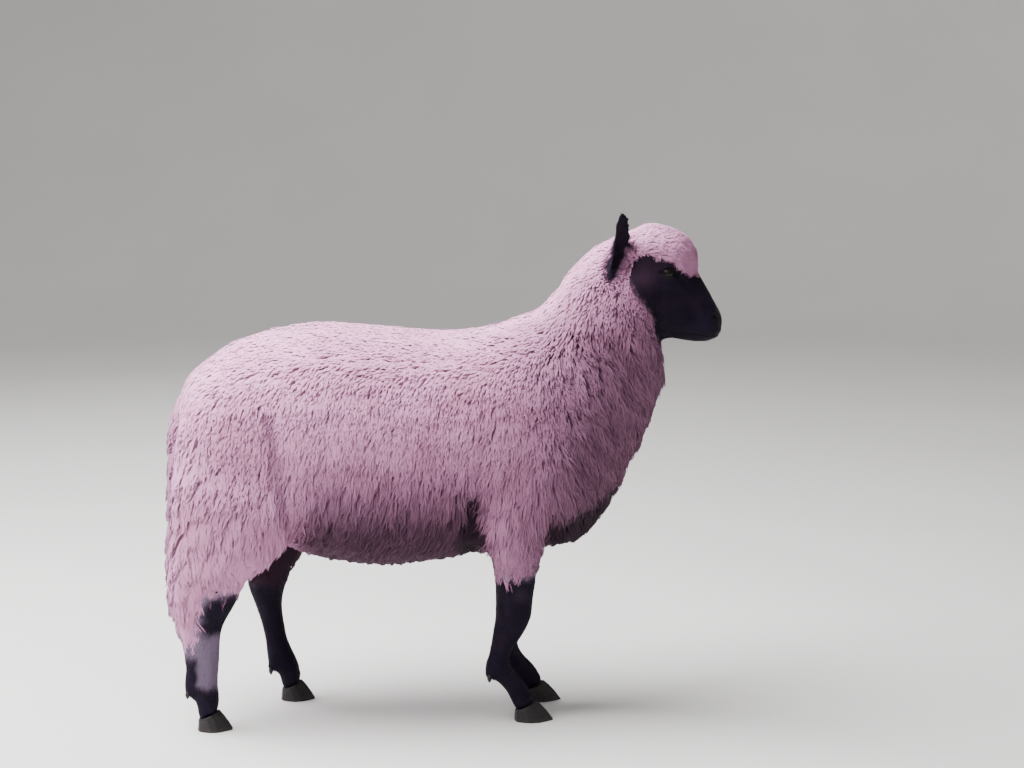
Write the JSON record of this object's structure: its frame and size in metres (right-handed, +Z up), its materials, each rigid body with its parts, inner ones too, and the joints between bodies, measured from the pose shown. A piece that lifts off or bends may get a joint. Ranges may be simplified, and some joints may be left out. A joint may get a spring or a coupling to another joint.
{
  "type": "sheep",
  "caption": "Life-size standing ewe of a dark-faced wool breed in full fleece, head raised and turned a little to her right, long woolly tail.",
  "frame": {"origin": "bottom centre of the ewe's bounding box, on the ground under her belly", "axes": "+X the way the ewe faces, +Y her left, +Z up"},
  "size_m": [1.0308, 0.386, 0.9358],
  "materials": {
    "fleece": "dense crimped cream wool in short locks",
    "dark_hair": "short near-black brown hair lying flat on skin",
    "hoof_horn": "dark horn with growth rings, worn at the rim",
    "eye": "wet amber-brown eye with a level slit pupil"
  },
  "bodies": {
    "root": {"ear_left": "dark_hair", "ear_right": "dark_hair", "eye_left": "eye", "eye_right": "eye", "fore_left_cannon": "dark_hair", "fore_left_claw_inner": "hoof_horn", "fore_left_claw_outer": "hoof_horn", "fore_left_forearm": "fleece", "fore_right_cannon": "dark_hair", "fore_right_claw_inner": "hoof_horn", "fore_right_claw_outer": "hoof_horn", "fore_right_forearm": "fleece", "head": "dark_hair", "hind_left_cannon": "dark_hair", "hind_left_claw_inner": "hoof_horn", "hind_left_claw_outer": "hoof_horn", "hind_left_gaskin": "fleece", "hind_right_cannon": "dark_hair", "hind_right_claw_inner": "hoof_horn", "hind_right_claw_outer": "hoof_horn", "hind_right_gaskin": "fleece", "neck": "fleece", "tail": "fleece", "trunk": "fleece"}
  },
  "joints": []
}
